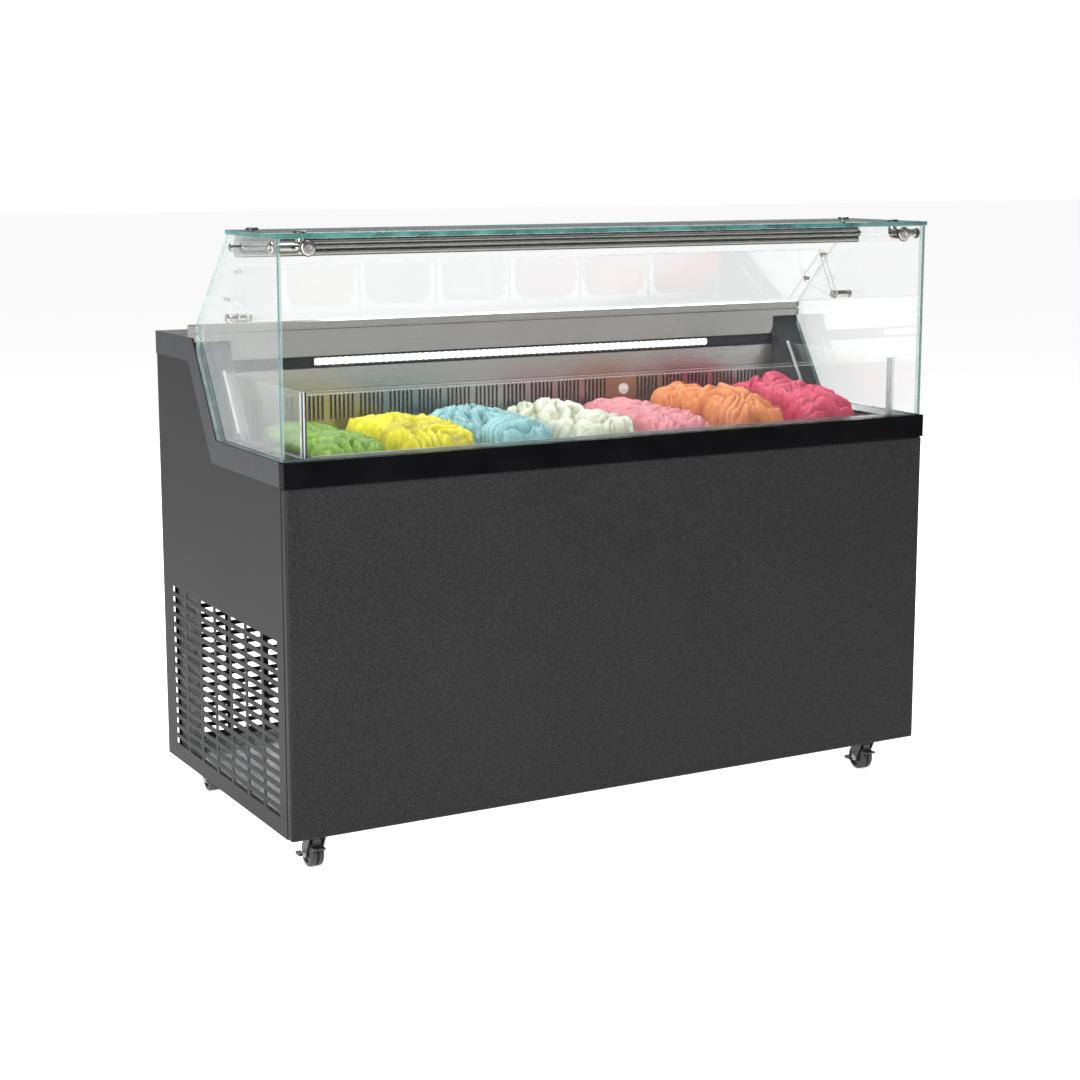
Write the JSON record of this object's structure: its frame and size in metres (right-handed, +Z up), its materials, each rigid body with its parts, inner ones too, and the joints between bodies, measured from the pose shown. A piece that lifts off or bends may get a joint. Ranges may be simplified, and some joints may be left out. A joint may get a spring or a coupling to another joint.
{
  "type": "ice cream dipping cabinet",
  "caption": "Ice cream dipping cabinet on castors: slotted charcoal body, row of filled pans under a square glass case, rear service hood with a light bar.",
  "frame": {"origin": "on the floor, at the middle of the cabinet's footprint", "axes": "+Z up; the customer side (front) faces -Y; +X to the right as seen from the front"},
  "size_m": [1.358, 0.634, 1.1135],
  "materials": {
    "galvanised_sheet": "dull zinc",
    "body_paint": "fine-textured charcoal powder coat",
    "gloss_trim": "gloss black",
    "satin_trim": "satin dark grey",
    "black_rubber": "matt",
    "foam": "closed-cell foam",
    "stainless": "brushed",
    "dark_plastic": "satin dark",
    "white_plastic": "satin white",
    "light": "lit diffuser",
    "glass": "clear, green edge",
    "acrylic": "clear acrylic",
    "aluminium": "satin anodised",
    "chrome": "polished",
    "machine_black": "semi-gloss black",
    "machine_grey": "satin grey",
    "coil_metal": "dull fins",
    "rocker_green": "gloss green",
    "pan_steel": "polished",
    "castor_steel": "zinc",
    "castor_tyre": "black tread",
    "ice_green": "frozen, slightly rough",
    "ice_yellow": "frozen, slightly rough",
    "ice_teal": "frozen, slightly rough",
    "ice_white": "frozen, slightly rough",
    "ice_pink": "frozen, slightly rough",
    "ice_orange": "frozen, slightly rough",
    "ice_magenta": "frozen, slightly rough"
  },
  "bodies": {
    "cabinet": {"base_frame": "galvanised_sheet", "front_panel": "body_paint", "side_panel_left": "body_paint", "side_panel_right": "body_paint", "rear_panel": "body_paint", "rear_grille": "body_paint", "front_trim": "gloss_trim", "side_trim_left": "satin_trim", "side_trim_right": "satin_trim", "glass_gasket": "black_rubber", "tank_insulation": "foam", "tank_liner": "stainless", "deck_frame": "dark_plastic", "cheek_left": "dark_plastic", "cheek_right": "dark_plastic", "vent_grille": "stainless", "back_wall": "stainless", "light_bar": "light", "worktop": "stainless", "front_glass": "glass", "side_glass_left": "glass", "side_glass_right": "glass", "top_glass": "glass", "top_profile": "aluminium", "corner_clamp_left": "chrome", "corner_clamp_right": "chrome", "flap_pivot_left": "chrome", "flap_pivot_right": "chrome", "acrylic_guard": "acrylic", "compressor": "machine_black", "condenser": "coil_metal", "fan_shroud": "machine_grey", "evaporator": "aluminium", "controller": "dark_plastic"},
    "castor_front_left": {"castor_fork_front_left": "castor_steel"},
    "wheel_front_left": {"castor_wheel_front_left": "castor_tyre"},
    "castor_front_right": {"castor_fork_front_right": "castor_steel"},
    "wheel_front_right": {"castor_wheel_front_right": "castor_tyre"},
    "castor_rear_left": {"castor_fork_rear_left": "castor_steel"},
    "wheel_rear_left": {"castor_wheel_rear_left": "castor_tyre"},
    "castor_rear_right": {"castor_fork_rear_right": "castor_steel"},
    "wheel_rear_right": {"castor_wheel_rear_right": "castor_tyre"},
    "pan_body_1": {"pan_1": "pan_steel", "ice_cream_1": "ice_green"},
    "pan_body_2": {"pan_2": "pan_steel", "ice_cream_2": "ice_yellow"},
    "pan_body_3": {"pan_3": "pan_steel", "ice_cream_3": "ice_teal"},
    "pan_body_4": {"pan_4": "pan_steel", "ice_cream_4": "ice_white"},
    "pan_body_5": {"pan_5": "pan_steel", "ice_cream_5": "ice_pink"},
    "pan_body_6": {"pan_6": "pan_steel", "ice_cream_6": "ice_orange"},
    "pan_body_7": {"pan_7": "pan_steel", "ice_cream_7": "ice_magenta"},
    "flap": {"rear_flap": "acrylic"},
    "fan": {"fan_rotor": "machine_black"},
    "rocker": {"power_rocker": "rocker_green"},
    "knob": {"grille_knob": "white_plastic"}
  },
  "joints": [
    {"name": "swivel_front_left", "type": "hinge", "parent": "cabinet", "child": "castor_front_left", "pos_m": [-0.605, -0.252, 0.071], "axis": [0, 0, 1], "continuous": true},
    {"name": "roll_front_left", "type": "hinge", "parent": "castor_front_left", "child": "wheel_front_left", "pos_m": [-0.605, -0.238, 0.025], "axis": [1, 0, 0], "continuous": true},
    {"name": "swivel_front_right", "type": "hinge", "parent": "cabinet", "child": "castor_front_right", "pos_m": [0.605, -0.252, 0.071], "axis": [0, 0, 1], "continuous": true},
    {"name": "roll_front_right", "type": "hinge", "parent": "castor_front_right", "child": "wheel_front_right", "pos_m": [0.605, -0.238, 0.025], "axis": [1, 0, 0], "continuous": true},
    {"name": "swivel_rear_left", "type": "hinge", "parent": "cabinet", "child": "castor_rear_left", "pos_m": [-0.605, 0.252, 0.071], "axis": [0, 0, 1], "continuous": true},
    {"name": "roll_rear_left", "type": "hinge", "parent": "castor_rear_left", "child": "wheel_rear_left", "pos_m": [-0.605, 0.266, 0.025], "axis": [1, 0, 0], "continuous": true},
    {"name": "swivel_rear_right", "type": "hinge", "parent": "cabinet", "child": "castor_rear_right", "pos_m": [0.605, 0.252, 0.071], "axis": [0, 0, 1], "continuous": true},
    {"name": "roll_rear_right", "type": "hinge", "parent": "castor_rear_right", "child": "wheel_rear_right", "pos_m": [0.605, 0.266, 0.025], "axis": [1, 0, 0], "continuous": true},
    {"name": "lift_1", "type": "slide", "parent": "cabinet", "child": "pan_body_1", "axis": [0, 0, 1], "range_m": [0, 0.12]},
    {"name": "lift_2", "type": "slide", "parent": "cabinet", "child": "pan_body_2", "axis": [0, 0, 1], "range_m": [0, 0.12]},
    {"name": "lift_3", "type": "slide", "parent": "cabinet", "child": "pan_body_3", "axis": [0, 0, 1], "range_m": [0, 0.12]},
    {"name": "lift_4", "type": "slide", "parent": "cabinet", "child": "pan_body_4", "axis": [0, 0, 1], "range_m": [0, 0.12]},
    {"name": "lift_5", "type": "slide", "parent": "cabinet", "child": "pan_body_5", "axis": [0, 0, 1], "range_m": [0, 0.12]},
    {"name": "lift_6", "type": "slide", "parent": "cabinet", "child": "pan_body_6", "axis": [0, 0, 1], "range_m": [0, 0.12]},
    {"name": "lift_7", "type": "slide", "parent": "cabinet", "child": "pan_body_7", "axis": [0, 0, 1], "range_m": [0, 0.12]},
    {"name": "flap_tilt", "type": "hinge", "parent": "cabinet", "child": "flap", "pos_m": [0, -0.07, 0.956], "axis": [1, 0, 0], "range_deg": [0, 60]},
    {"name": "fan_spin", "type": "hinge", "parent": "cabinet", "child": "fan", "pos_m": [0.482, 0, 0.27], "axis": [1, 0, 0], "continuous": true},
    {"name": "power_rock", "type": "hinge", "parent": "cabinet", "child": "rocker", "pos_m": [-0.345, 0.313, 0.845], "axis": [1, 0, 0], "range_deg": [-16, 0]},
    {"name": "knob_turn", "type": "hinge", "parent": "cabinet", "child": "knob", "pos_m": [0.237, 0.099, 0.767], "axis": [0, 1, 0], "range_deg": [0, 90]}
  ]
}
